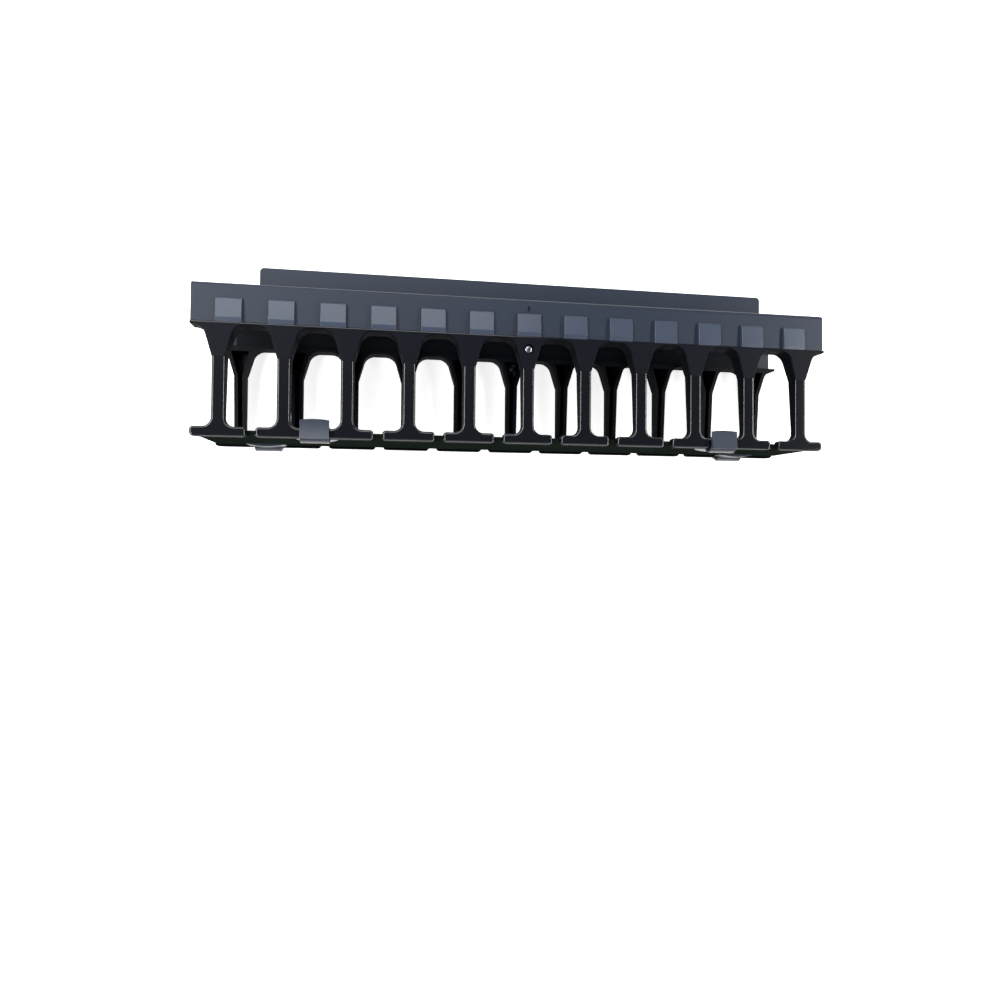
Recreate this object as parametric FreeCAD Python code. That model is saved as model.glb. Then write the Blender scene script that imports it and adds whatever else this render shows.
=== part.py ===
import FreeCAD, Part
import math
import os

# Two-unit horizontal cable manager for a 19 inch rack, in millimetres.
# X runs along the rack's width, -Y points out of the rack towards the user, +Z is up.
# The origin is the middle of the four rack screw slots, on the rear face of the pan.

V = FreeCAD.Vector

# Overall sizes
WIDTH = 482.6             # 19 inch panel width
ROW_HEIGHT = 83.0         # outer face of the upper fingers to outer face of the lower ones
FINGER_REACH = 80.7       # from the front of the heads to the ledge of the spine
FLANGE_DEPTH = 28.5       # from the ledge to the rear face of the pan

# Fingers
FINGER_COUNT = 11
HEAD_GAP = 6.35           # cable gate between neighbouring heads
HEAD_HEIGHT = 7.3         # along Y
HEAD_DEPTH = 6.6          # along Z
HEAD_CORNER = 1.9         # cut off each corner of a head
HEAD_ROOT_RADIUS = 6.5    # where a head runs into its post
POST_WIDTH = 9.3
RIB_WIDTH = 3.0
SKIN = 2.2
GROOVE_START = 9.0        # from the heads' front plane
FLARE_LENGTH = 24.2       # in front of the ledge
FLARE_SLOPE = 0.28        # sideways per millimetre of depth
ARCH_RADIUS = 9.0
ARCH_BAND = 2.1           # left between the arches and the ledge
RECESS_BAND = 4.2         # left between the recesses and the ledge
RIM_DEPTH = 12.0          # depth of the ribs where the arches end

# Comb spine, which takes the edge of the pan's flange
LEDGE_PROUD = 2.2         # past the outer face of the fingers
LEDGE_BREAK = 1.2
SLOT_DEEP = 1.1           # groove for the edge of the flange, in front of the ledge
WALL = 2.0                # inner wall against the inside of the flange
WALL_LENGTH = 16.3        # behind the ledge
TAB_COUNT = 13
TAB_END = 25.9            # from the end of the comb to the middle of the first tab
TAB_WIDTH = 18.0
TAB_ROOT = 2.6            # sloped stretch behind the ledge
TAB_LENGTH = 17.1         # behind the ledge, tip included
TAB_PROUD = 3.1           # at the foot, past the outer face of the fingers
TAB_TIP_PROUD = 2.2
TAB_BREAK = 0.8

# Pan, folded from one sheet
SHEET = 1.5
BEND_RADIUS = 1.6         # inside radius
WEB_END = 42.3            # flat web for the rack rails at each end of the opening
FLAP_DEPTH = 19.1         # each flap, folded back from the middle of the opening
FLAP_CORNER = 3.0
PAN_CORNER = 2.5
SLOT_INSET = 8.75         # from the end of the pan to the middle of a rack slot
RACK_SPACING_Z = 44.45
SLOT_WIDTH = 7.0
SLOT_LENGTH = 11.0
SIGHT_SLOT_WIDTH = 2.0
SIGHT_SLOT_LENGTH = 4.6
SIGHT_SLOT_OFFSET = 3.6   # from the tabs' tips
LUG_WIDTH = 8.4
LUG_END = 4.0             # past the screw
LUG_STEP = 2.1            # the lug is joggled inwards by this much
LUG_BEND = 0.8

# Comb screws
SCREW_INSET = 9.5         # in front of the ledge
SCREW_SHANK = 3.5
SCREW_HEAD = 7.0
SCREW_HEAD_HEIGHT = 2.0
SCREW_PROUD = 0.8         # of the head, past the skin
SCREW_LENGTH = 7.5        # under the head
BOSS_RADIUS = 4.4
RUNNING_FIT = 0.2
PRESS_FIT = 0.05

# Cover and its clips
COVER_END_GAP = 2.3       # inside the ends of the combs
COVER_SHEET = 1.6
COVER_INSET = 1.5         # outer face behind the heads' front plane
COVER_SIDE_GAP = 2.0      # to the inner faces of both rows of heads
COVER_CORNER = 9.0
COVER_LIP = 2.4           # turned in along both long edges
COVER_LIP_INSET = 17.0
COVER_LIP_TAPER = 6.0
CLIP_WALL = 1.5
CLIP_CLEARANCE = 0.35     # round the corners of a head
CLIP_END_GAP = 0.8        # to the curved roots of the heads
CLIP_MOUTH = 40.0         # half angle of the mouth, from straight back
CLIP_RELIEF = 76.0        # the same where a clip leaves its head as the cover opens
LEAF_LIFT = 0.25          # outer face of the leaf past the ring
LEAF_SPREAD = 1.4         # the leaf leans out by this much at its front
LEAF_FRONT = -0.6         # from the heads' front plane
LEAF_BEND = 6.2
LEAF_TOP = 13.7
LEAF_BREAK = 0.9
LEAF_SHOULDER = 0.9
PAD_LENGTH = 30.0
PAD_REACH = 12.0
PAD_CORNER = 3.0
PAD_THICKNESS = 2.2
PAD_END_THICKNESS = 0.5
PRONG_SPACING = 10.0
PRONG_WIDTH = 3.0
PRONG_THICKNESS = 1.8
PRONG_BARB = 0.6
PRONG_TIP = 1.6
PRONG_PLAY = 0.1          # behind the cover's sheet
CLIP_PITCHES_UPPER = 3.5
CLIP_PITCHES_LOWER = 4.5

# Worked out from the values above
HALF_ROW = ROW_HEIGHT / 2
DEPTH = FINGER_REACH + FLANGE_DEPTH
PITCH = (WIDTH + HEAD_GAP) / FINGER_COUNT
HEAD_LENGTH = PITCH - HEAD_GAP
FLARE_START = FINGER_REACH - FLARE_LENGTH
ARCH_TOP = FINGER_REACH - ARCH_BAND
RECESS_TOP = FINGER_REACH - RECESS_BAND
SLOT_FLOOR = FINGER_REACH - SLOT_DEEP
TAB_PITCH = (WIDTH - 2 * TAB_END) / (TAB_COUNT - 1)
TAB_TOP = FINGER_REACH + TAB_LENGTH
SCREW_AT = FINGER_REACH - SCREW_INSET
FLAP_LENGTH = WIDTH - 2 * WEB_END
RACK_SPACING_X = WIDTH - 2 * SLOT_INSET
COVER_LENGTH = WIDTH - 2 * COVER_END_GAP
ROD_Y = HEAD_HEIGHT / 2 - DEPTH
ROD_Z = HALF_ROW - HEAD_DEPTH / 2
COVER_HALF = HALF_ROW - HEAD_DEPTH - COVER_SIDE_GAP
CLIP_WIDTH = PITCH - POST_WIDTH - 2 * HEAD_ROOT_RADIUS - 2 * CLIP_END_GAP
CLIP_BORE = math.hypot(HEAD_HEIGHT, HEAD_DEPTH) / 2 + CLIP_CLEARANCE
CLIP_OUTER = CLIP_BORE + CLIP_WALL
CLIP_MIDDLE = CLIP_BORE + CLIP_WALL / 2


def from_front(distance):
    """Y of a plane that lies this far behind the front of the heads."""
    return distance - DEPTH


def rounded_face(corners, place):
    """Face from (u, v, radius) corners in order; place turns u, v into a point."""
    edges = []
    starts = []
    ends = []
    middles = []
    count = len(corners)
    for i, (u, v, radius) in enumerate(corners):
        pu, pv, _ = corners[i - 1]
        nu, nv, _ = corners[(i + 1) % count]
        back = math.hypot(pu - u, pv - v)
        ahead = math.hypot(nu - u, nv - v)
        bu, bv = (pu - u) / back, (pv - v) / back
        au, av = (nu - u) / ahead, (nv - v) / ahead
        if radius == 0:
            starts.append((u, v))
            ends.append((u, v))
            middles.append(None)
            continue
        half = math.acos(bu * au + bv * av) / 2
        reach = radius / math.tan(half)
        starts.append((u + bu * reach, v + bv * reach))
        ends.append((u + au * reach, v + av * reach))
        mu, mv = bu + au, bv + av
        size = math.hypot(mu, mv)
        deep = radius / math.sin(half) - radius
        middles.append((u + mu / size * deep, v + mv / size * deep))
    for i in range(count):
        if middles[i]:
            arc = Part.Arc(place(*starts[i]), place(*middles[i]), place(*ends[i]))
            edges.append(arc.toShape())
        here = place(*ends[i])
        there = place(*starts[(i + 1) % count])
        if here.distanceToPoint(there) > 1e-6:
            edges.append(Part.LineSegment(here, there).toShape())
    return Part.Face(Part.Wire(edges))


def mirrored_corners(right_side):
    """Closed list of corners from its right-hand half, listed from bottom to top."""
    left_side = [(-u, v, radius) for u, v, radius in reversed(right_side)]
    return right_side + left_side


def prism_z(corners, low, high):
    """Prism along Z whose outline gives X and the distance from the front."""
    face = rounded_face(corners, lambda u, v: V(u, from_front(v), low))
    return face.extrude(V(0, 0, high - low))


def prism_x(corners, middle, length):
    """Prism along X whose outline gives the distance from the front and Z."""
    left = middle - length / 2
    face = rounded_face(corners, lambda u, v: V(left, from_front(u), v))
    return face.extrude(V(length, 0, 0))


def obround_y(x, z, length, width, low, high):
    """Slot cutter along Y, long side along X."""
    half = (length - width) / 2
    body = Part.makeBox(2 * half, high - low, width, V(x - half, low, z - width / 2))
    for side in (-1, 1):
        body = body.fuse(Part.makeCylinder(width / 2, high - low, V(x + side * half, low, z), V(0, 1, 0)))
    return body.removeSplitter()


def flipped(shape):
    """Copy for the other row, turned over about the Y axis."""
    copy = shape.copy()
    copy.rotate(V(0, 0, 0), V(0, 1, 0), 180)
    return copy


def skin_z(distance):
    """Outer surface of a finger at this distance behind the front of the heads."""
    if distance <= FLARE_START:
        return HALF_ROW
    share = (distance - FLARE_START) / FLARE_LENGTH
    return HALF_ROW + LEDGE_PROUD * share


# ---- finger comb ----

def head_and_post():
    """T-shaped front of a finger."""
    half = HEAD_LENGTH / 2
    side = [
        (half - HEAD_CORNER, 0, 0),
        (half, HEAD_CORNER, 0),
        (half, HEAD_HEIGHT - HEAD_CORNER, 0),
        (half - HEAD_CORNER, HEAD_HEIGHT, 0),
        (POST_WIDTH / 2, HEAD_HEIGHT, HEAD_ROOT_RADIUS),
        (POST_WIDTH / 2, FLARE_START, 0),
    ]
    return prism_z(mirrored_corners(side), HALF_ROW - HEAD_DEPTH, HALF_ROW)


def post_backing():
    """Wedge that deepens the post from the head to the spine."""
    start = HEAD_HEIGHT + HEAD_ROOT_RADIUS
    inner = HALF_ROW - HEAD_DEPTH
    outline = [
        (start, inner, 0),
        (FLARE_START, rim_inner(FLARE_START), 0),
        (FLARE_START, inner, 0),
    ]
    return prism_x(outline, 0, POST_WIDTH)


def rim_inner(distance):
    """Inner edge of the ribs, which get deeper towards the spine."""
    start = HEAD_HEIGHT + HEAD_ROOT_RADIUS
    share = (distance - start) / (RECESS_TOP - start)
    return HALF_ROW - HEAD_DEPTH - (RIM_DEPTH - HEAD_DEPTH) * min(share, 1)


def spine():
    """Long wedge that the fingers spread into, with a ledge at the rear."""
    section = [
        (FLARE_START, rim_inner(FLARE_START), 0),
        (RECESS_TOP, HALF_ROW - RIM_DEPTH, 0),
        (FINGER_REACH, HALF_ROW - RIM_DEPTH, 0),
        (FINGER_REACH, HALF_ROW + LEDGE_PROUD - LEDGE_BREAK, 0),
        (FINGER_REACH - LEDGE_BREAK, skin_z(FINGER_REACH - LEDGE_BREAK), 0),
        (FLARE_START, HALF_ROW, 0),
    ]
    return prism_x(section, 0, WIDTH)


def arch(index):
    """Cutter for the gap between two flares, which ends in an arch."""
    foot = (PITCH - POST_WIDTH) / 2
    side = [
        (foot, FLARE_START, 0),
        (foot - FLARE_SLOPE * (ARCH_TOP - FLARE_START), ARCH_TOP, ARCH_RADIUS),
    ]
    cutter = prism_z(mirrored_corners(side), HALF_ROW - 2 * RIM_DEPTH, HALF_ROW + RIM_DEPTH)
    cutter.translate(V((index - FINGER_COUNT / 2) * PITCH, 0, 0))
    return cutter


def finger_recess():
    """Groove down the post that opens into a triangle in the flare."""
    groove = POST_WIDTH / 2 - RIB_WIDTH
    lean = RIB_WIDTH * math.hypot(1, FLARE_SLOPE)
    split = FLARE_START + (lean - RIB_WIDTH) / FLARE_SLOPE
    top = POST_WIDTH / 2 + FLARE_SLOPE * (RECESS_TOP - FLARE_START) - lean
    side = [
        (groove, GROOVE_START, 0),
        (groove, split, 0),
        (top, RECESS_TOP, 0),
    ]
    cutter = prism_z(mirrored_corners(side), HALF_ROW - RIM_DEPTH - 1, HALF_ROW)
    section = [
        (GROOVE_START, HALF_ROW - RIM_DEPTH - 1, 0),
        (RECESS_TOP, HALF_ROW - RIM_DEPTH - 1, 0),
        (RECESS_TOP, skin_z(RECESS_TOP) - SKIN, 0),
        (FLARE_START, HALF_ROW - SKIN, 0),
        (GROOVE_START, HALF_ROW - SKIN, 0),
    ]
    return cutter.common(prism_x(section, 0, PITCH))


def at_each_finger(shape):
    """Copies of a shape, one at each finger's place in the row."""
    first = (FINGER_COUNT - 1) / 2
    return [moved(shape, (i - first) * PITCH) for i in range(FINGER_COUNT)]


def clip_tab(x):
    """Springy tab that holds the comb on the outside of the flange."""
    outline = [
        (FINGER_REACH - LEDGE_BREAK, HALF_ROW, 0),
        (FINGER_REACH - LEDGE_BREAK, skin_z(FINGER_REACH - LEDGE_BREAK), 0),
        (FINGER_REACH + TAB_ROOT, HALF_ROW + TAB_PROUD, 0),
        (TAB_TOP - TAB_BREAK, HALF_ROW + TAB_TIP_PROUD, 0),
        (TAB_TOP, HALF_ROW + TAB_TIP_PROUD - TAB_BREAK, 0),
        (TAB_TOP, HALF_ROW, 0),
    ]
    return prism_x(outline, x, TAB_WIDTH)


def inner_wall():
    """Wall of the comb that stands against the inside of the flange."""
    length = (FINGER_COUNT - 1) * PITCH + POST_WIDTH
    outer = HALF_ROW - SHEET
    outline = [
        (FINGER_REACH - 1, outer - WALL, 0),
        (FINGER_REACH - 1, outer, 0),
        (FINGER_REACH + WALL_LENGTH, outer, 0),
        (FINGER_REACH + WALL_LENGTH, outer - WALL, WALL / 2),
    ]
    return prism_x(outline, 0, length)


def screw_boss():
    """Round seat behind the skin of the middle finger, with its hole and head recess."""
    y = from_front(SCREW_AT)
    seat = HALF_ROW - LUG_STEP
    return Part.makeCylinder(BOSS_RADIUS, skin_z(SCREW_AT) - SKIN / 2 - seat, V(0, y, seat))


def screw_hole():
    """Clearance hole and round recess for the head."""
    y = from_front(SCREW_AT)
    seat = screw_seat()
    hole = Part.makeCylinder(SCREW_SHANK / 2 + RUNNING_FIT, RIM_DEPTH * 2, V(0, y, seat - RIM_DEPTH))
    recess = Part.makeCylinder(SCREW_HEAD / 2 + 2 * RUNNING_FIT, RIM_DEPTH, V(0, y, seat))
    return hole.fuse(recess)


def screw_seat():
    """Z of the face under the screw's head."""
    return skin_z(SCREW_AT) + SCREW_PROUD - SCREW_HEAD_HEIGHT


def lug_pocket():
    """Way through the spine for the pan's lug."""
    low = RECESS_TOP - LUG_BEND
    gap = RUNNING_FIT
    width = LUG_WIDTH + 2 * gap
    bottom = HALF_ROW - LUG_STEP - SHEET - gap
    return Part.makeBox(width, SLOT_FLOOR - low, HALF_ROW + gap - bottom, V(-width / 2, from_front(low), bottom))


def flange_slot():
    """Groove along the spine for the edge of the flange."""
    return Part.makeBox(WIDTH + 2, FINGER_REACH - SLOT_FLOOR + 1, SHEET,
                        V(-WIDTH / 2 - 1, from_front(SLOT_FLOOR), HALF_ROW - SHEET))


def finger_comb():
    """Whole moulding: fingers, spine, tabs and inner wall."""
    comb = spine().cut([arch(i) for i in range(FINGER_COUNT + 1)])
    posts = at_each_finger(head_and_post().fuse(post_backing()))
    comb = comb.fuse(posts).cut(at_each_finger(finger_recess()))
    comb = comb.fuse([inner_wall(), screw_boss()])
    comb = comb.cut([flange_slot(), lug_pocket()])
    first = (TAB_COUNT - 1) / 2
    comb = comb.fuse([clip_tab((i - first) * TAB_PITCH) for i in range(TAB_COUNT)])
    comb = comb.cut(screw_hole())
    return comb.removeSplitter()


# ---- pan ----

def pan_shell():
    """Web and two flanges as one bent section."""
    outer = BEND_RADIUS + SHEET
    section = [
        (DEPTH, -HALF_ROW, outer),
        (DEPTH, HALF_ROW, outer),
        (SLOT_FLOOR, HALF_ROW, 0),
        (SLOT_FLOOR, HALF_ROW - SHEET, 0),
        (DEPTH - SHEET, HALF_ROW - SHEET, BEND_RADIUS),
        (DEPTH - SHEET, SHEET - HALF_ROW, BEND_RADIUS),
        (SLOT_FLOOR, SHEET - HALF_ROW, 0),
        (SLOT_FLOOR, -HALF_ROW, 0),
    ]
    return prism_x(section, 0, WIDTH)


def flap():
    """Upper flap, folded back from the opening."""
    outer = BEND_RADIUS + SHEET
    reach = DEPTH + FLAP_DEPTH
    section = [
        (DEPTH - SHEET, FLAP_DEPTH + outer, 0),
        (DEPTH - SHEET, FLAP_DEPTH - SHEET, outer),
        (reach, FLAP_DEPTH - SHEET, 0),
        (reach, FLAP_DEPTH, 0),
        (DEPTH, FLAP_DEPTH, BEND_RADIUS),
        (DEPTH, FLAP_DEPTH + outer, 0),
    ]
    bent = prism_x(section, 0, FLAP_LENGTH)
    half = FLAP_LENGTH / 2
    outline = [
        (half, DEPTH - 2 * outer, 0),
        (half, reach, FLAP_CORNER),
    ]
    return bent.common(prism_z(mirrored_corners(outline), 0, HALF_ROW))


def lug():
    """Joggled lug on the edge of the flange, for the comb screw."""
    outer = HALF_ROW
    inner = HALF_ROW - SHEET
    start = SLOT_FLOOR - RUNNING_FIT
    end = RECESS_TOP - RUNNING_FIT
    tip = SCREW_AT - LUG_END
    section = [
        (SLOT_FLOOR, outer, 0),
        (start, outer, 0),
        (end, outer - LUG_STEP, LUG_BEND),
        (tip, outer - LUG_STEP, 0),
        (tip, inner - LUG_STEP, 0),
        (end, inner - LUG_STEP, LUG_BEND),
        (start, inner, 0),
        (SLOT_FLOOR, inner, 0),
    ]
    body = prism_x(section, 0, LUG_WIDTH)
    hole = Part.makeCylinder(SCREW_SHANK / 2 + PRESS_FIT, HALF_ROW, V(0, from_front(SCREW_AT), 0))
    return body.cut(hole)


def sight_slot():
    """Small slot in the flange above the middle tab."""
    half = SIGHT_SLOT_WIDTH / 2
    end = SIGHT_SLOT_LENGTH / 2
    middle = TAB_TOP + SIGHT_SLOT_OFFSET
    side = [
        (half, middle - end, half * 0.95),
        (half, middle + end, half * 0.95),
    ]
    return prism_z(mirrored_corners(side), HALF_ROW - 2 * SHEET, HALF_ROW + SHEET)


def back_pan():
    """Folded sheet with its opening, flaps, lugs and slots."""
    outer = BEND_RADIUS + SHEET
    pan = pan_shell()
    window = 2 * (FLAP_DEPTH + outer)
    opening = Part.makeBox(FLAP_LENGTH, 3 * SHEET, window, V(-FLAP_LENGTH / 2, -2 * SHEET, -window / 2))
    pan = pan.cut(opening)
    extras = []
    for piece in (flap(), lug()):
        extras.append(piece)
        extras.append(flipped(piece))
    pan = pan.fuse(extras)
    cutters = [sight_slot(), flipped(sight_slot())]
    for sx in (-1, 1):
        for sz in (-1, 1):
            x = sx * RACK_SPACING_X / 2
            z = sz * RACK_SPACING_Z / 2
            cutters.append(obround_y(x, z, SLOT_LENGTH, SLOT_WIDTH, -2 * SHEET, SHEET))
    return pan.cut(cutters).removeSplitter()


# ---- screws ----

def comb_screw():
    """Screw that holds the comb's middle to the lug."""
    y = from_front(SCREW_AT)
    seat = screw_seat()
    head = Part.makeCylinder(SCREW_HEAD / 2, SCREW_HEAD_HEIGHT, V(0, y, seat))
    shank = Part.makeCylinder(SCREW_SHANK / 2, SCREW_LENGTH, V(0, y, seat - SCREW_LENGTH))
    return head.fuse(shank)


# ---- cover ----

def clip_x(pitches):
    return pitches * PITCH


def cover():
    """Flat cover with turned-in edges, notches for the clips and prong slots."""
    half = COVER_LENGTH / 2
    back = COVER_INSET + COVER_SHEET

    def place(u, v):
        return V(u, from_front(COVER_INSET), v)

    side = [
        (half, -COVER_HALF, COVER_CORNER),
        (half, COVER_HALF, COVER_CORNER),
    ]
    panel = rounded_face(mirrored_corners(side), place).extrude(V(0, COVER_SHEET, 0))
    long_end = half - COVER_LIP_INSET
    lip_side = [
        (long_end, back - COVER_SHEET / 2, 0),
        (long_end - COVER_LIP_TAPER, back + COVER_LIP, 1.0),
    ]
    lip = prism_z(mirrored_corners(lip_side), COVER_HALF - COVER_SHEET, COVER_HALF)
    body = panel.fuse([lip, flipped(lip)])
    return body.cut(clip_cutters()).removeSplitter()


def clip_cutters():
    """Notches in the long edges and slots for the prongs."""
    cutters = []
    depth = 4 * COVER_SHEET + COVER_LIP
    y = from_front(COVER_INSET) - COVER_SHEET
    notch = CLIP_WIDTH + 2 * RUNNING_FIT
    inner = ROD_Z - CLIP_OUTER - RUNNING_FIT
    for pitches, row in ((CLIP_PITCHES_UPPER, 1), (CLIP_PITCHES_LOWER, -1)):
        for side in (-1, 1):
            x = side * clip_x(pitches)
            box = Part.makeBox(notch, depth, COVER_HALF - inner + 1, V(x - notch / 2, y, inner))
            cutters.append(box if row > 0 else flipped(box))
            for prong in (-1, 1):
                px = x + prong * PRONG_SPACING / 2
                wide = PRONG_WIDTH + 2 * RUNNING_FIT
                thick = PRONG_THICKNESS + 2 * RUNNING_FIT
                slot = Part.makeBox(wide, depth, thick, V(px - wide / 2, y, prong_z() - thick / 2))
                cutters.append(slot if row > 0 else flipped(slot))
    return cutters


def prong_z():
    return ROD_Z - CLIP_OUTER - PAD_REACH / 2


# ---- clips ----

def ring_point(radius, degrees):
    """Point on a circle round the rod; 0 degrees is straight back, 90 is outwards."""
    angle = math.radians(degrees)
    return V(-CLIP_WIDTH / 2, ROD_Y + radius * math.cos(angle), ROD_Z + radius * math.sin(angle))


def clip_ring(mouth):
    """Open ring round the rod, with its mouth to the rear."""
    start = mouth
    end = 360 - mouth
    outer = Part.Arc(ring_point(CLIP_OUTER, start), ring_point(CLIP_OUTER, 180), ring_point(CLIP_OUTER, end))
    inner = Part.Arc(ring_point(CLIP_BORE, end), ring_point(CLIP_BORE, 180), ring_point(CLIP_BORE, start))
    edges = [
        outer.toShape(),
        Part.LineSegment(outer.EndPoint, inner.StartPoint).toShape(),
        inner.toShape(),
        Part.LineSegment(inner.EndPoint, outer.StartPoint).toShape(),
    ]
    return Part.Face(Part.Wire(edges)).extrude(V(CLIP_WIDTH, 0, 0))


def mid_ring(offset):
    """Height above the rod of the middle of the ring's wall, this far ahead of or behind the rod."""
    return math.sqrt(CLIP_MIDDLE ** 2 - offset ** 2)


def clip_leaf():
    """Outer leaf that springs the ring open; its rear edge is arched."""
    rod = HEAD_HEIGHT / 2
    out = CLIP_OUTER + LEAF_LIFT
    under = out - CLIP_WALL
    outline = [
        (LEAF_FRONT, ROD_Z + out + LEAF_SPREAD, 0),
        (LEAF_BEND, ROD_Z + out, 0),
        (LEAF_TOP - LEAF_BREAK, ROD_Z + out, 0),
        (LEAF_TOP, ROD_Z + out - LEAF_BREAK, 0),
        (LEAF_TOP, ROD_Z + under, 0),
        (rod + mid_ring(under), ROD_Z + under, 0),
        (rod, ROD_Z + mid_ring(0), 0),
        (LEAF_FRONT, ROD_Z + mid_ring(rod - LEAF_FRONT), 0),
    ]
    leaf = prism_x(outline, 0, CLIP_WIDTH)
    return leaf.common(arched(CLIP_WIDTH / 2, LEAF_SHOULDER, LEAF_TOP, -1))


def arched(half, rise, crest, side):
    """Cylinder along Z that bows a face by rise over its half length; side -1 bows it to the rear."""
    radius = (half ** 2 + rise ** 2) / (2 * rise)
    return Part.makeCylinder(radius, ROW_HEIGHT, V(0, from_front(crest) + side * radius, 0))


def clip_pad():
    """Domed pad on the outer face of the cover."""
    half = PAD_LENGTH / 2
    low = ROD_Z - CLIP_OUTER - PAD_REACH
    front = COVER_INSET - PAD_THICKNESS

    def place(u, v):
        return V(u, from_front(front), v)

    side = [
        (half - PAD_CORNER, low, 0),
        (half, low + PAD_CORNER, 0),
        (half, COVER_HALF, 0),
    ]
    pad = rounded_face(mirrored_corners(side), place).extrude(V(0, PAD_THICKNESS, 0))
    return pad.common(arched(half, PAD_THICKNESS - PAD_END_THICKNESS, front, 1))


def prong(x):
    """Barbed prong that goes through the cover."""
    start = COVER_INSET - PAD_END_THICKNESS / 2
    back = COVER_INSET + COVER_SHEET + PRONG_PLAY
    half = PRONG_WIDTH / 2
    side = [
        (half, start, 0),
        (half, back, 0),
        (half + PRONG_BARB, back, 0),
        (half * 0.6, back + PRONG_TIP, 0),
    ]
    body = prism_z(mirrored_corners(side), prong_z() - PRONG_THICKNESS / 2, prong_z() + PRONG_THICKNESS / 2)
    body.translate(V(x, 0, 0))
    return body


def cover_clip(mouth):
    """Whole clip for the upper row, at X = 0."""
    prongs = [prong(side * PRONG_SPACING / 2) for side in (-1, 1)]
    return clip_ring(mouth).fuse([clip_leaf(), clip_pad()] + prongs).removeSplitter()


def moved(shape, x):
    copy = shape.copy()
    copy.translate(V(x, 0, 0))
    return copy


def build():
    comb = finger_comb()
    screw = comb_screw()
    hinge_clip = cover_clip(CLIP_MOUTH)
    latch_clip = flipped(cover_clip(CLIP_RELIEF))
    return {
        "back_pan": back_pan(),
        "upper_finger_comb": comb,
        "lower_finger_comb": flipped(comb),
        "upper_comb_screw": screw,
        "lower_comb_screw": flipped(screw),
        "front_cover": cover(),
        "upper_left_clip": moved(hinge_clip, -clip_x(CLIP_PITCHES_UPPER)),
        "upper_right_clip": moved(hinge_clip, clip_x(CLIP_PITCHES_UPPER)),
        "lower_left_clip": moved(latch_clip, -clip_x(CLIP_PITCHES_LOWER)),
        "lower_right_clip": moved(latch_clip, clip_x(CLIP_PITCHES_LOWER)),
    }


os.makedirs("parts", exist_ok=True)
for name, shape in build().items():
    shape.exportStep("parts/" + name + ".step")
    box = shape.BoundBox
    print(name, len(shape.Solids), shape.isValid(), round(shape.Volume),
          [round(v, 1) for v in (box.XMin, box.YMin, box.ZMin, box.XMax, box.YMax, box.ZMax)])
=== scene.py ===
import bpy
import bmesh
import math
from mathutils import Matrix, Vector


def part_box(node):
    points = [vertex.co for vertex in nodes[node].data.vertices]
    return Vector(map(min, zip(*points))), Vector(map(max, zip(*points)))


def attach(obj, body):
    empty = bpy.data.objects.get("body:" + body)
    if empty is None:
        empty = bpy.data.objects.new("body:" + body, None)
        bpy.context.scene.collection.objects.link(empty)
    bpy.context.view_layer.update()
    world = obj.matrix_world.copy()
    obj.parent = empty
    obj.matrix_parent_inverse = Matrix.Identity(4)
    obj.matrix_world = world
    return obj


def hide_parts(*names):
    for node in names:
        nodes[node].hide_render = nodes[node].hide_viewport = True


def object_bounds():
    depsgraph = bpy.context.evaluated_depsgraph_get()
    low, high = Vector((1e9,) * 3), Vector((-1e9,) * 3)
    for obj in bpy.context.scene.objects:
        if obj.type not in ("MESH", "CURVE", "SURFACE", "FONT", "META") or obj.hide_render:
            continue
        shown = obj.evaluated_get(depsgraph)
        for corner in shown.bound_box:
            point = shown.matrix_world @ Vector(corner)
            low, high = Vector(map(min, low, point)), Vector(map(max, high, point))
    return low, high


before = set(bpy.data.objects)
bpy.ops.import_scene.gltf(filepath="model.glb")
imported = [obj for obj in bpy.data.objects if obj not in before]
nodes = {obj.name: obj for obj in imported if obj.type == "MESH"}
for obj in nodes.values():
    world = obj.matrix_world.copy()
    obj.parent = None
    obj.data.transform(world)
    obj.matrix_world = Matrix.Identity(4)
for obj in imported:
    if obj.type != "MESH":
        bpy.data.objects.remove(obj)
cadLow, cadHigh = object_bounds()
mm = 0.001  # the dictionaries below are in millimetres, Blender is in metres
weldGap = 0.001  # mm, points of one mesh that are closer than this are one point
near = 0.01  # mm, closer than this counts as the same place
turnSteps = 48  # faces round a round piece
smoothAngle = 32  # degrees, edges sharper than this stay sharp
print("frame loaded:", len(nodes), "CAD nodes")


# small helpers

def fromHex(code):
    parts = [int(code[i:i + 2], 16) / 255 for i in (1, 3, 5)]
    return [c / 12.92 if c <= 0.04045 else ((c + 0.055) / 1.055) ** 2.4 for c in parts] + [1.0]


def addNode(tree, kind, inputs={}, **settings):
    node = tree.nodes.new(kind)
    for name, value in settings.items():
        setattr(node, name, value)
    for name, value in inputs.items():
        if isinstance(value, bpy.types.NodeSocket):
            tree.links.new(value, node.inputs[name])
        else:
            node.inputs[name].default_value = value
    return node


def newMaterial(name):
    material = bpy.data.materials.new(name)
    material.use_nodes = True
    tree = material.node_tree
    tree.nodes.clear()
    return material, tree


def perMetre(millimetres):
    return 1 / (millimetres * mm)  # noise scale that gives grains of this size


# section in distance and height, pushed along X
def prismX(bm, corners, left, right):
    face = bm.faces.new([bm.verts.new((left, d, z)) for d, z in corners])
    made = bmesh.ops.extrude_face_region(bm, geom=[face], use_keep_orig=True)["geom"]
    moved = [g for g in made if isinstance(g, bmesh.types.BMVert)]
    bmesh.ops.translate(bm, verts=moved, vec=(right - left, 0, 0))
    return moved


# plan in X and distance, pushed along Z
def prismZ(bm, corners, low, high):
    face = bm.faces.new([bm.verts.new((x, d, high)) for x, d in corners])
    made = bmesh.ops.extrude_face_region(bm, geom=[face], use_keep_orig=True)["geom"]
    moved = [g for g in made if isinstance(g, bmesh.types.BMVert)]
    bmesh.ops.translate(bm, verts=moved, vec=(0, 0, low - high))
    return moved


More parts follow.
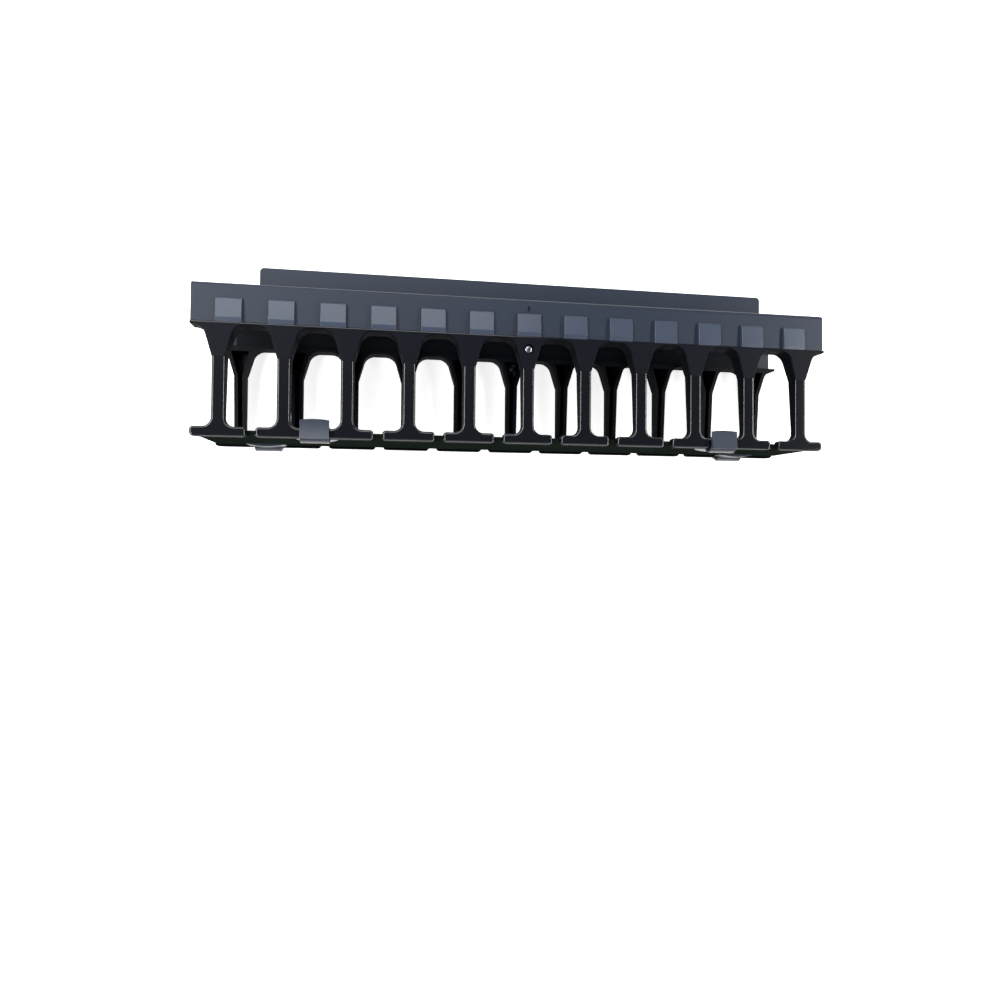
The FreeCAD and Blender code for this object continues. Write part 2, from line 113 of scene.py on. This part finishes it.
def bothSides(half):
    return half + [(-x, d) for x, d in reversed(half) if x > 0]


def cutAcross(bm, point, normal):
    geom = bm.verts[:] + bm.edges[:] + bm.faces[:]
    bmesh.ops.bisect_plane(bm, geom=geom, dist=2 * near, plane_co=point, plane_no=normal)


def toObject(bm, name):
    bmesh.ops.remove_doubles(bm, verts=bm.verts, dist=weldGap)
    bmesh.ops.recalc_face_normals(bm, faces=bm.faces)
    mesh = bpy.data.meshes.new(name)
    bm.to_mesh(mesh)
    bm.free()
    piece = bpy.data.objects.new(name, mesh)
    bpy.context.scene.collection.objects.link(piece)
    return piece


# bakes the modifiers into the mesh
def settle(piece):
    bpy.context.view_layer.update()
    graph = bpy.context.evaluated_depsgraph_get()
    mesh = bpy.data.meshes.new_from_object(piece.evaluated_get(graph))
    piece.modifiers.clear()
    piece.data = mesh


def combine(piece, other, operation):
    step = piece.modifiers.new("join", "BOOLEAN")
    step.object, step.operation, step.solver = other, operation, "EXACT"
    settle(piece)
    bpy.data.objects.remove(other)


def soften(piece, width, segments, angle):
    step = piece.modifiers.new("soften", "BEVEL")
    step.width, step.segments = width, segments
    step.limit_method, step.angle_limit = "ANGLE", math.radians(angle)  # only edges sharper than this
    step.miter_outer = "MITER_ARC"
    settle(piece)


# keeps the slight fold at this distance sharp
def markCrease(piece, distance):
    bm = bmesh.new()
    bm.from_mesh(piece.data)
    for edge in bm.edges:
        if all(abs(v.co.y - distance) < near * mm for v in edge.verts):
            edge.smooth = False
    bm.to_mesh(piece.data)
    bm.free()


# smooth shading that keeps flat faces flat, then the piece's materials and body, and its CAD node hidden
def finish(piece, materials, body, node, crease=None):
    if not piece.data.materials:
        for material in materials:
            piece.data.materials.append(material)
    piece.data.shade_smooth()
    piece.data.set_sharp_from_angle(angle=math.radians(smoothAngle))
    if crease is not None:
        markCrease(piece, crease)
    step = piece.modifiers.new("flats", "WEIGHTED_NORMAL")
    step.keep_sharp = True
    settle(piece)
    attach(piece, body)
    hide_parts(node)


# materials

powder = dict(colour="#19212e", high="#1d2635", grain=1.0, cloud=70, depth=0.035, rough=(0.41, 0.53), ior=1.5,
              level=0.3)


# polyester powder coat, baked on: matte, with a fine grain that breaks up highlights, drawn at 1 mm,
# coarser than the real one, so that it shows
def powderCoatedSteel():
    material, tree = newMaterial("powderCoatedSteel")
    where = addNode(tree, "ShaderNodeTexCoord").outputs["Object"]
    grain = addNode(tree, "ShaderNodeTexNoise", {"Vector": where, "Scale": perMetre(powder["grain"]), "Detail": 3.0})
    cloud = addNode(tree, "ShaderNodeTexNoise", {"Vector": where, "Scale": perMetre(powder["cloud"]), "Detail": 2.0})
    tint = addNode(tree, "ShaderNodeMix", {"Factor": cloud.outputs["Fac"], "A": fromHex(powder["colour"]),
                                           "B": fromHex(powder["high"])}, data_type="RGBA")
    rough = addNode(tree, "ShaderNodeMapRange", {"Value": grain.outputs["Fac"], "To Min": powder["rough"][0],
                                                 "To Max": powder["rough"][1]})
    bump = addNode(tree, "ShaderNodeBump", {"Height": grain.outputs["Fac"], "Distance": powder["depth"] * mm,
                                            "Strength": 1.0})
    shader = addNode(tree, "ShaderNodeBsdfPrincipled", {
        "Base Color": tint.outputs["Result"], "Roughness": rough.outputs["Result"],
        "Normal": bump.outputs["Normal"], "IOR": powder["ior"], "Specular IOR Level": powder["level"]})
    addNode(tree, "ShaderNodeOutputMaterial", {"Surface": shader.outputs["BSDF"]})
    return material


absZones = dict(  # colour, roughness, specular level, grain in mm, depth of the grain in mm
    polished=("#090c12", 0.13, 0.6, 6.0, 0.004),
    textured=("#090c13", 0.5, 0.08, 0.8, 0.05),
    # the sides are the same ABS as the faces, coloured a touch darker: painted shade
    flank=("#07090d", 0.55, 0.01, 1.6, 0.02),
    # the tabs are the combs' own black ABS: their lighter colour is a painted sheen, for the reflection of the light
    # above
    satinPaintedSheen=("#353d4c", 0.3, 0.4, 3.0, 0.012))
absFlow = dict(size=22, spread=0.1, ior=1.53)  # patches where the plastic set at its own pace, and their gloss


# injection moulded ABS: one mould, polished outside, spark eroded inside and on the flares, so
# the posts carry sharp highlights and the flares stay dull. Flares and flanks have less specular
# than ABS really has, because they mirror the pale floor at a low angle and would turn grey
def mouldedAbs(zone):
    colour, roughness, level, size, depth = absZones[zone]
    material, tree = newMaterial(zone + "Abs")
    where = addNode(tree, "ShaderNodeTexCoord").outputs["Object"]
    grain = addNode(tree, "ShaderNodeTexNoise", {"Vector": where, "Scale": perMetre(size), "Detail": 2.0})
    flow = addNode(tree, "ShaderNodeTexNoise", {"Vector": where, "Scale": perMetre(absFlow["size"]), "Detail": 1.0})
    rough = addNode(tree, "ShaderNodeMapRange", {"Value": flow.outputs["Fac"],
                                                 "To Min": roughness * (1 - absFlow["spread"]),
                                                 "To Max": roughness * (1 + absFlow["spread"])})
    bump = addNode(tree, "ShaderNodeBump", {"Height": grain.outputs["Fac"], "Distance": depth * mm})
    shader = addNode(tree, "ShaderNodeBsdfPrincipled", {
        "Base Color": fromHex(colour), "Roughness": rough.outputs["Result"],
        "Normal": bump.outputs["Normal"], "IOR": absFlow["ior"], "Specular IOR Level": level})
    addNode(tree, "ShaderNodeOutputMaterial", {"Surface": shader.outputs["BSDF"]})
    return material


clipPlastic = dict(colour="#262d3a", rough=(0.26, 0.4), grain=8.0, depth=0.06, ior=1.48)


# acetal, self-coloured black like the combs: a soft sheen, and a colour a touch lighter than the combs', which is a
# painted sheen for the light it reflects
def mouldedClip():
    material, tree = newMaterial("mouldedAcetal")
    where = addNode(tree, "ShaderNodeTexCoord").outputs["Object"]
    flow = addNode(tree, "ShaderNodeTexNoise", {"Vector": where, "Scale": perMetre(clipPlastic["grain"]),
                                                "Detail": 3.0})
    rough = addNode(tree, "ShaderNodeMapRange", {"Value": flow.outputs["Fac"], "To Min": clipPlastic["rough"][0],
                                                 "To Max": clipPlastic["rough"][1]})
    bump = addNode(tree, "ShaderNodeBump", {"Height": flow.outputs["Fac"], "Distance": clipPlastic["depth"] * mm})
    shader = addNode(tree, "ShaderNodeBsdfPrincipled", {
        "Base Color": fromHex(clipPlastic["colour"]), "Roughness": rough.outputs["Result"],
        "Normal": bump.outputs["Normal"], "IOR": clipPlastic["ior"]})
    addNode(tree, "ShaderNodeOutputMaterial", {"Surface": shader.outputs["BSDF"]})
    return material


coverPlastic = dict(colour="#141a15", high="#262d28", line=2.2, stretch=0.02, cloud=45, depth=0.05,
                    rough=(0.64, 0.78), ior=1.53, level=0.0)


# PVC sheet, extruded: a dull skin with faint die lines along its length. It has no specular, less
# than PVC really has, because at a low angle it would mirror the pale floor
def extrudedPvc():
    material, tree = newMaterial("extrudedPvc")
    where = addNode(tree, "ShaderNodeTexCoord").outputs["Object"]
    along = addNode(tree, "ShaderNodeMapping", {"Vector": where, "Scale": (coverPlastic["stretch"], 1.0, 1.0)})
    lines = addNode(tree, "ShaderNodeTexNoise", {"Vector": along.outputs["Vector"],
                                                 "Scale": perMetre(coverPlastic["line"]), "Detail": 2.0})
    cloud = addNode(tree, "ShaderNodeTexNoise", {"Vector": where, "Scale": perMetre(coverPlastic["cloud"])})
    blend = addNode(tree, "ShaderNodeMath", {0: lines.outputs["Fac"], 1: cloud.outputs["Fac"]}, operation="MULTIPLY")
    tint = addNode(tree, "ShaderNodeMix", {"Factor": blend.outputs["Value"], "A": fromHex(coverPlastic["colour"]),
                                           "B": fromHex(coverPlastic["high"])}, data_type="RGBA")
    rough = addNode(tree, "ShaderNodeMapRange", {"Value": lines.outputs["Fac"], "To Min": coverPlastic["rough"][0],
                                                 "To Max": coverPlastic["rough"][1]})
    bump = addNode(tree, "ShaderNodeBump", {"Height": lines.outputs["Fac"], "Distance": coverPlastic["depth"] * mm})
    shader = addNode(tree, "ShaderNodeBsdfPrincipled", {
        "Base Color": tint.outputs["Result"], "Roughness": rough.outputs["Result"],
        "Normal": bump.outputs["Normal"], "IOR": coverPlastic["ior"], "Specular IOR Level": coverPlastic["level"]})
    addNode(tree, "ShaderNodeOutputMaterial", {"Surface": shader.outputs["BSDF"]})
    return material


zinc = dict(colour="#858b93", rough=(0.22, 0.4), grain=1.2)


# bright zinc on steel: a pale metal, slightly cloudy
def zincPlate():
    material, tree = newMaterial("brightZincPlate")
    where = addNode(tree, "ShaderNodeTexCoord").outputs["Object"]
    cloud = addNode(tree, "ShaderNodeTexNoise", {"Vector": where, "Scale": perMetre(zinc["grain"]), "Detail": 3.0})
    rough = addNode(tree, "ShaderNodeMapRange", {"Value": cloud.outputs["Fac"], "To Min": zinc["rough"][0],
                                                 "To Max": zinc["rough"][1]})
    shader = addNode(tree, "ShaderNodeBsdfPrincipled", {
        "Base Color": fromHex(zinc["colour"]), "Roughness": rough.outputs["Result"], "Metallic": 1.0})
    addNode(tree, "ShaderNodeOutputMaterial", {"Surface": shader.outputs["BSDF"]})
    return material


steelFinish = powderCoatedSteel()
combFinishes = [mouldedAbs(zone) for zone in absZones]
clipFinish = mouldedClip()
coverFinish = extrudedPvc()
screwFinish = zincPlate()
print("materials made")


# pan, cover and clips: merged copies of the CAD meshes, with their edges broken

cadPieces = dict(  # name, body, slot, edge rounding in mm and its steps
    back_pan=("backPan", "frame", "powder_coated_steel", 0.3, 2),
    front_cover=("frontCover", "cover", "cover_sheet", 0.35, 2),
    upper_left_clip=("upperLeftClip", "cover", "moulded_clip", 0.25, 2),
    upper_right_clip=("upperRightClip", "cover", "moulded_clip", 0.25, 2),
    lower_left_clip=("lowerLeftClip", "cover", "moulded_clip", 0.25, 2),
    lower_right_clip=("lowerRightClip", "cover", "moulded_clip", 0.25, 2))
cadMesh = dict(weld=0.002, flat=0.6, sharp=38)  # mm and degrees
finishes = dict(powder_coated_steel=steelFinish, cover_sheet=coverFinish, moulded_clip=clipFinish)


# the node's own shape as one clean mesh, its sharp edges rounded
def fromCad(node, name, width, steps):
    bm = bmesh.new()
    bm.from_mesh(nodes[node].data)
    bmesh.ops.scale(bm, verts=bm.verts, vec=(1 / mm, 1 / mm, 1 / mm))
    bmesh.ops.remove_doubles(bm, verts=bm.verts, dist=cadMesh["weld"])
    bmesh.ops.dissolve_limit(bm, angle_limit=math.radians(cadMesh["flat"]), verts=bm.verts, edges=bm.edges)
    piece = toObject(bm, name)
    soften(piece, width, steps, cadMesh["sharp"])
    piece.data.transform(Matrix.Scale(mm, 4))
    return piece


for node, (name, body, slot, width, steps) in cadPieces.items():
    finish(fromCad(node, name, width, steps), [finishes[slot]], body, node)
print("pan, cover and clips made")


# finger combs

comb = dict(fingers=11, headGap=6.35, headLong=7.3, headDeep=6.6, headRound=2.6, rootRound=6.4, postWidth=9.3,
            flareStart=56.5, flareSlope=0.28, archTop=78.6, archRound=6.8, ledge=80.7, ledgeProud=2.2,
            ledgeRound=1.15, rimStart=15.0, rimDeep=12.0, edgeRound=1.7, flareRound=0.85,
            ribWidth=3.0, skin=2.2, grooveStart=9.0, recessTop=76.5,
            tabs=13, tabEnd=25.9, tabWidth=18.0, tabRoot=2.6, tabLong=17.1, tabProud=3.1, tabTip=2.2, tabBreak=0.8,
            tabRound=0.45,
            sheet=1.5, slotDeep=1.1, wall=2.0, wallLong=16.3,
            screwAt=71.2, screwHead=7.0, screwShank=3.5, screwSeat=-0.5, lugWidth=8.8, lugStep=2.1, bossRadius=4.4,
            lugGap=0.2, holeGap=0.2, holeTop=8, holeSteps=64, tabFoot=0.7, tabBury=0.05, tabLift=0.02,
            headSteps=8, rootSteps=12, archSteps=14, edgeSteps=5, flareSteps=3, ledgeSteps=5, tabSteps=3)
middleHeight = -1  # mm, a plate's outer side is above this and its inner side below
wallTilt, sideTilt, faceTilt, endTilt = 0.2, 0.3, 0.9, 0.99  # how squarely a normal points along its axis
flatAngle = 0.5  # degrees, faces that lie flatter than this to each other become one
combLow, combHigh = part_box("upper_finger_comb")
combLong = (combHigh.x - combLow.x) / mm
pitch = (combLong + comb["headGap"]) / comb["fingers"]


# height of the outer face at this distance from the heads' front
def outerAt(d):
    share = max(0, (d - comb["flareStart"]) / (comb["ledge"] - comb["flareStart"]))
    return comb["ledgeProud"] * share


def innerAt(d):
    start = comb["rimStart"]
    share = min(1, max(0, (d - start) / (comb["recessTop"] - start)))
    return -comb["headDeep"] - (comb["rimDeep"] - comb["headDeep"]) * share


# one finger with its share of the spine, as wide as the pitch
def fingerPlate():
    c = comb
    head = (pitch - c["headGap"]) / 2
    post = c["postWidth"] / 2
    knee = post + c["flareSlope"] * (c["archTop"] - c["flareStart"])
    bm = bmesh.new()
    outline = bothSides([(head, 0), (head, c["headLong"]), (post, c["headLong"]), (post, c["flareStart"]),
                         (knee, c["archTop"]), (pitch / 2, c["archTop"]), (pitch / 2, c["ledge"])])
    bm.faces.new([bm.verts.new((x, d, 0)) for x, d in outline])
    for x, d, reach, steps in ((head, 0, c["headRound"], c["headSteps"]),
                               (head, c["headLong"], c["headRound"], c["headSteps"]),
                               (post, c["headLong"], c["rootRound"], c["rootSteps"]),
                               (knee, c["archTop"], c["archRound"], c["archSteps"])):
        corners = [v for v in bm.verts if abs(abs(v.co.x) - x) < near and abs(v.co.y - d) < near]
        bmesh.ops.bevel(bm, geom=corners, offset=reach, offset_type="OFFSET", affect="VERTICES", segments=steps,
                        profile=0.5, material=-1)
    made = bmesh.ops.extrude_face_region(bm, geom=bm.faces[:], use_keep_orig=True)["geom"]
    under = [g for g in made if isinstance(g, bmesh.types.BMVert)]
    bmesh.ops.translate(bm, verts=under, vec=(0, 0, -c["headDeep"]))
    for d in (c["rimStart"], c["flareStart"], c["recessTop"]):
        cutAcross(bm, (0, d, 0), (0, 1, 0))
    for v in bm.verts:
        v.co.z = outerAt(v.co.y) if v.co.z > middleHeight else innerAt(v.co.y)
    bmesh.ops.recalc_face_normals(bm, faces=bm.faces)
    return bm


# rounds the outer edges: generously on the head and post, less on the flare
def roundFinger(bm):
    c = comb
    for front, width, steps in ((True, c["edgeRound"], c["edgeSteps"]),
                                (False, c["flareRound"], c["flareSteps"])):
        edges = []
        for e in bm.edges:
            middle = (e.verts[0].co + e.verts[1].co) / 2
            inside = abs(middle.x) < pitch / 2 - near and middle.y < c["ledge"] - near
            ahead = middle.y < c["flareStart"] - near
            up = sorted(abs(f.normal.z) for f in e.link_faces)
            corner = up[0] < wallTilt and up[1] > faceTilt
            if inside and ahead == front and middle.z > middleHeight and corner:
                edges.append(e)
        bmesh.ops.bevel(bm, geom=edges, offset=width, offset_type="OFFSET", affect="EDGES", segments=steps,
                        profile=0.5, material=-1, clamp_overlap=False)


# groove down the post that opens into a triangle behind the flare
def recessCutter():
    c = comb
    groove = c["postWidth"] / 2 - c["ribWidth"]
    lean = c["ribWidth"] * math.hypot(1, c["flareSlope"])
    split = c["flareStart"] + (lean - c["ribWidth"]) / c["flareSlope"]
    wide = c["postWidth"] / 2 + c["flareSlope"] * (c["recessTop"] - c["flareStart"]) - lean
    bm = bmesh.new()
    prismZ(bm, bothSides([(groove, c["grooveStart"]), (groove, split), (wide, c["recessTop"])]), -2 * c["rimDeep"], 0)
    cutAcross(bm, (0, c["flareStart"], 0), (0, 1, 0))
    for v in bm.verts:
        if v.co.z > middleHeight:
            v.co.z = outerAt(v.co.y) - c["skin"]
    return toObject(bm, "recess")


# fingers side by side, welded at their ends and cut to the comb's length
def combRow():
    bm = fingerPlate()
    roundFinger(bm)
    finger = toObject(bm, "finger")
    combine(finger, recessCutter(), "DIFFERENCE")
    bm = bmesh.new()
    bm.from_mesh(finger.data)
    bpy.data.objects.remove(finger)
    walls = [f for f in bm.faces
             if abs(f.normal.x) > endTilt and abs(abs(f.calc_center_median().x) - pitch / 2) < near]
    bmesh.ops.delete(bm, geom=walls, context="FACES_ONLY")
    first = bm.verts[:] + bm.edges[:] + bm.faces[:]
    bmesh.ops.translate(bm, verts=bm.verts, vec=(-pitch * (comb["fingers"] - 1) / 2, 0, 0))
    for i in range(1, comb["fingers"]):
        made = bmesh.ops.duplicate(bm, geom=first)["geom"]
        verts = [g for g in made if isinstance(g, bmesh.types.BMVert)]
        bmesh.ops.translate(bm, verts=verts, vec=(i * pitch, 0, 0))
    bmesh.ops.remove_doubles(bm, verts=bm.verts, dist=near)
    for side in (-1, 1):
        geom = bm.verts[:] + bm.edges[:] + bm.faces[:]
        bmesh.ops.bisect_plane(bm, geom=geom, plane_co=(side * combLong / 2, 0, 0), plane_no=(side, 0, 0),
                               clear_outer=True)
    bmesh.ops.holes_fill(bm, edges=[e for e in bm.edges if e.is_boundary])
    ledge = [e for e in bm.edges if len(e.link_faces) == 2
             and all(abs(v.co.y - comb["ledge"]) < near and v.co.z > comb["ledgeProud"] / 2 for v in e.verts)]
    bmesh.ops.bevel(bm, geom=ledge, offset=comb["ledgeRound"], offset_type="OFFSET", affect="EDGES",
                    segments=comb["ledgeSteps"], profile=0.5, material=-1, clamp_overlap=False)
    return toObject(bm, "combRow")


# tabs that grip the flange from outside and the wall behind it
def combTabs():
    c = comb
    bm = bmesh.new()
    foot = c["ledge"] - c["ledgeRound"] * c["tabFoot"]
    tip = c["ledge"] + c["tabLong"]
    step = (combLong - 2 * c["tabEnd"]) / (c["tabs"] - 1)
    section = [(foot, 0), (foot, outerAt(foot) - c["tabBury"]), (c["ledge"] + c["tabRoot"], c["tabProud"]),
               (tip - c["tabBreak"], c["tabTip"]), (tip, c["tabTip"] - c["tabBreak"]), (tip, c["tabLift"])]
    for i in range(c["tabs"]):
        x = (i - (c["tabs"] - 1) / 2) * step
        prismX(bm, section, x - c["tabWidth"] / 2, x + c["tabWidth"] / 2)
    proud = c["tabTip"] / 2
    shown = [e for e in bm.edges
             if all(v.co.z > proud for v in e.verts) or abs(e.verts[0].co.z - e.verts[1].co.z) > proud]
    bmesh.ops.bevel(bm, geom=shown, offset=c["tabRound"], offset_type="OFFSET", affect="EDGES",
                    segments=c["tabSteps"], profile=0.5, material=-1, clamp_overlap=True)
    outer = -c["sheet"]
    long = (c["fingers"] - 1) * pitch + c["postWidth"]
    end = c["ledge"] + c["wallLong"]
    prismX(bm, [(c["ledge"] - 1, outer - c["wall"]), (c["ledge"] - 1, outer), (end, outer),
                (end - c["wall"] / 2, outer - c["wall"])], -long / 2, long / 2)
    return toObject(bm, "combTabs")


def combBoss():
    c = comb
    bm = bmesh.new()
    top = outerAt(c["screwAt"]) - c["skin"] / 2
    deep = top + c["lugStep"]
    bmesh.ops.create_cone(bm, cap_ends=True, segments=turnSteps, radius1=c["bossRadius"],
                          radius2=c["bossRadius"], depth=deep,
                          matrix=Matrix.Translation((0, c["screwAt"], top - deep / 2)))
    return toObject(bm, "combBoss")


# slot that grips the flange's edge
def flangeSlot():
    c = comb
    bm = bmesh.new()
    long = combLong / 2 + 1
    prismX(bm, [(c["ledge"] - c["slotDeep"], -c["sheet"]), (c["ledge"] - c["slotDeep"], 0), (c["ledge"] + 1, 0),
                (c["ledge"] + 1, -c["sheet"])], -long, long)
    return toObject(bm, "flangeSlot")


# way in for the flange's lug, under the screw
def lugPocket():
    c = comb
    bm = bmesh.new()
    half = c["lugWidth"] / 2
    gap = c["lugGap"]
    low = -c["lugStep"] - c["sheet"] - gap
    prismX(bm, [(c["recessTop"] - 1, low), (c["recessTop"] - 1, gap), (c["ledge"] - c["slotDeep"] + gap, gap),
                (c["ledge"] - c["slotDeep"] + gap, low)], -half, half)
    return toObject(bm, "lugPocket")


# stepped hole, spun about the screw's axis
def screwWay():
    c = comb
    bm = bmesh.new()
    hole, seat = c["screwShank"] / 2 + c["holeGap"], c["screwHead"] / 2
    outline = [(0, c["holeTop"]), (seat, c["holeTop"]), (seat, c["screwSeat"]), (hole, c["screwSeat"]),
               (hole, -c["rimDeep"]), (0, -c["rimDeep"])]
    verts = [bm.verts.new((x, c["screwAt"], z)) for x, z in outline]
    edges = [bm.edges.new(pair) for pair in zip(verts, verts[1:])]
    bmesh.ops.spin(bm, geom=verts + edges, cent=(0, c["screwAt"], 0), axis=(0, 0, 1), angle=math.tau,
                   steps=c["holeSteps"], use_merge=True)
    return toObject(bm, "screwWay")


def buildComb():
    piece = combRow()
    combine(piece, combBoss(), "UNION")
    combine(piece, flangeSlot(), "DIFFERENCE")
    combine(piece, lugPocket(), "DIFFERENCE")
    combine(piece, combTabs(), "UNION")
    combine(piece, screwWay(), "DIFFERENCE")
    bm = bmesh.new()
    bm.from_mesh(piece.data)
    bpy.data.objects.remove(piece)
    bmesh.ops.dissolve_limit(bm, angle_limit=math.radians(flatAngle), verts=bm.verts, edges=bm.edges)
    return toObject(bm, "comb")


# which finish the mould gives this face: half-gloss tabs, coloured lighter as a painted sheen, dull sides and flares,
# polished heads and posts
def zoneOf(face):
    c = comb
    middle, up = face.calc_center_median(), face.normal.z
    if middle.y > c["ledge"] + 0.2 and middle.z > near:
        return "satinPaintedSheen"
    if abs(up) < sideTilt:
        return "flank"
    if middle.y > c["flareStart"] and (up < 0 or middle.y < c["ledge"] - c["ledgeRound"] - 0.1):
        return "textured"
    return "polished" if up > 0 else "flank"


def paintZones(piece):
    bm = bmesh.new()
    bm.from_mesh(piece.data)
    for face in bm.faces:
        face.material_index = list(absZones).index(zoneOf(face))
    bm.to_mesh(piece.data)
    bm.free()


# millimetres from the heads' front and outer face, to metres in the rack's frame
def place(piece, name, below):
    outer = combHigh.z / mm - comb["tabProud"]
    piece.data.transform(Matrix.Translation((0, combLow.y / mm, outer)))
    piece.data.transform(Matrix.Scale(mm, 4))
    if below:
        piece.data.transform(Matrix.Rotation(math.pi, 4, "Y"))
    piece.name = piece.data.name = name


upperComb = buildComb()
for material in combFinishes:
    upperComb.data.materials.append(material)
paintZones(upperComb)
lowerComb = upperComb.copy()
lowerComb.data = upperComb.data.copy()
bpy.context.scene.collection.objects.link(lowerComb)
for piece, name, below in ((upperComb, "upperComb", False), (lowerComb, "lowerComb", True)):
    place(piece, name, below)
    finish(piece, combFinishes, "frame", ("lower" if below else "upper") + "_finger_comb",
           combLow.y + comb["flareStart"] * mm)
print("combs made:", len(upperComb.data.polygons), "faces each")


# comb screws

screw = dict(head=5.6, high=1.7, dome=0.5, shank=3.3, long=7.4, point=0.6, sunk=0.55, cross=3.4, slot=0.85,
             deep=1.3, taper=0.45, turn=20,
             crown=((0.45, 0.16), (0.8, 0.6), (1, 1.5)))  # shares of the head's radius and of the dome's height


# pan head and shank, spun about the screw's own axis, with its top at zero
def screwBody():
    c = screw
    bm = bmesh.new()
    reach, thin, end = c["head"] / 2, c["shank"] / 2, -c["high"] - c["long"]
    outline = [(0, 0)] + [(reach * out, -c["dome"] * down) for out, down in c["crown"]]
    outline += [(reach, -c["high"]), (thin, -c["high"]), (thin, end + c["point"]), (thin - c["point"], end), (0, end)]
    verts = [bm.verts.new((x, 0, z)) for x, z in outline]
    edges = [bm.edges.new(pair) for pair in zip(verts, verts[1:])]
    bmesh.ops.spin(bm, geom=verts + edges, cent=(0, 0, 0), axis=(0, 0, 1), angle=math.tau, steps=turnSteps,
                   use_merge=True)
    return toObject(bm, "screw")


# one wing of the cross, narrowing as it goes down
def wingCutter(turn):
    c = screw
    bm = bmesh.new()
    size = Matrix.Diagonal((c["cross"], c["slot"], c["deep"] * 2, 1))
    bmesh.ops.create_cube(bm, size=1, matrix=Matrix.Rotation(math.radians(turn), 4, "Z") @ size)
    low = [v for v in bm.verts if v.co.z < 0]
    bmesh.ops.scale(bm, verts=low, vec=(c["taper"], c["taper"], 1))
    return toObject(bm, "wing")


def buildScrew(side):
    piece = screwBody()
    for turn in (screw["turn"], screw["turn"] + 90):
        combine(piece, wingCutter(turn), "DIFFERENCE")
    low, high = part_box(side + "_comb_screw")
    outer = combHigh.z / mm - comb["tabProud"] + outerAt(comb["screwAt"])
    piece.data.transform(Matrix.Translation((0, (low.y + high.y) / 2 / mm, outer - screw["sunk"])))
    piece.data.transform(Matrix.Scale(mm, 4))
    if side == "lower":
        piece.data.transform(Matrix.Rotation(math.pi, 4, "Y"))
    finish(piece, [screwFinish], "frame", side + "_comb_screw")
    piece.name = piece.data.name = side + "CombScrew"


for side in ("upper", "lower"):
    buildScrew(side)
print("screws made")


# floor, light and camera

studio = dict(floor="#f0f0ee", floorSize=6, floorGap=0.0005, floorGlow=0.8,
              horizon=0.3, zenith=0.1, sky=(0.05, 0.85),  # strengths, and the heights they are reached at
              key=dict(size=(1.1, 0.8), at=(-0.35, 0.64, 0.95), power=10.0, aim=(-0.35, 0, 0)),
              leftStrip=dict(size=(1.3, 0.16), at=(-0.78, -0.05, 0.85), power=15.0),
              rightStrip=dict(size=(1.3, 0.16), at=(1.0, -0.05, 0.8), power=15.0),
              fill=dict(size=(1.2, 0.3), at=(0.1, -1.0, 0.7), power=2.2))


# pale floor that keeps the shadow and shows a little lighter to the camera and in reflections
def studioFloor():
    material, tree = newMaterial("paleFloor")
    path = addNode(tree, "ShaderNodeLightPath")
    seen = addNode(tree, "ShaderNodeMath", {0: path.outputs["Is Camera Ray"], 1: path.outputs["Is Glossy Ray"]},
                   operation="MAXIMUM")
    seen = addNode(tree, "ShaderNodeMath", {0: seen.outputs["Value"], 1: path.outputs["Is Transmission Ray"]},
                   operation="MAXIMUM")
    glow = addNode(tree, "ShaderNodeMath", {0: seen.outputs["Value"], 1: studio["floorGlow"]}, operation="MULTIPLY")
    plain = addNode(tree, "ShaderNodeBsdfDiffuse", {"Color": fromHex(studio["floor"])})
    lift = addNode(tree, "ShaderNodeEmission", {"Strength": glow.outputs["Value"]})
    both = addNode(tree, "ShaderNodeAddShader", {0: plain.outputs["BSDF"], 1: lift.outputs["Emission"]})
    addNode(tree, "ShaderNodeOutputMaterial", {"Surface": both.outputs["Shader"]})
    return material


# dome that is bright at the horizon and dim overhead
def studioWorld():
    world = bpy.data.worlds.new("studio")
    bpy.context.scene.world = world
    world.use_nodes = True
    tree = world.node_tree
    tree.nodes.clear()
    direction = addNode(tree, "ShaderNodeTexCoord").outputs["Generated"]
    up = addNode(tree, "ShaderNodeSeparateXYZ", {"Vector": direction})
    low, high = studio["sky"]
    level = addNode(tree, "ShaderNodeMapRange", {"Value": up.outputs["Z"], "From Min": low, "From Max": high,
                                                 "To Min": studio["horizon"], "To Max": studio["zenith"]})
    sky = addNode(tree, "ShaderNodeBackground", {"Color": (1, 1, 1, 1), "Strength": level.outputs["Result"]})
    addNode(tree, "ShaderNodeOutputWorld", {"Surface": sky.outputs["Background"]})


def addLamp(name, at, size, power, aim=(0, 0, 0)):
    lamp = bpy.data.lights.new(name, "AREA")
    lamp.shape = "RECTANGLE"
    lamp.size, lamp.size_y = size
    lamp.energy = power
    holder = bpy.data.objects.new(name, lamp)
    holder.location = at
    holder.rotation_euler = (Vector(aim) - Vector(at)).to_track_quat("-Z", "Y").to_euler()
    bpy.context.scene.collection.objects.link(holder)


floorMesh = bmesh.new()
bmesh.ops.create_grid(floorMesh, x_segments=1, y_segments=1, size=studio["floorSize"])
bmesh.ops.translate(floorMesh, verts=floorMesh.verts, vec=(0, 0, cadLow.z - studio["floorGap"]))
floor = toObject(floorMesh, "floor")
floor.data.materials.append(studioFloor())
studioWorld()
for name in ("key", "leftStrip", "rightStrip", "fill"):
    addLamp(name, **studio[name])

view = dict(sensor=36, lens=25.17, at=(-0.1021, -0.1624, 0.5555), turned=(1.104, -8.983, 0.487))
camera = bpy.data.objects.new("camera", bpy.data.cameras.new("camera"))
camera.data.sensor_width = view["sensor"]
camera.data.lens = view["lens"]
camera.location = view["at"]
camera.rotation_euler = [math.radians(a) for a in view["turned"]]
bpy.context.scene.collection.objects.link(camera)
bpy.context.scene.camera = camera
bpy.context.scene.view_settings.view_transform = "Standard"
print("studio made")
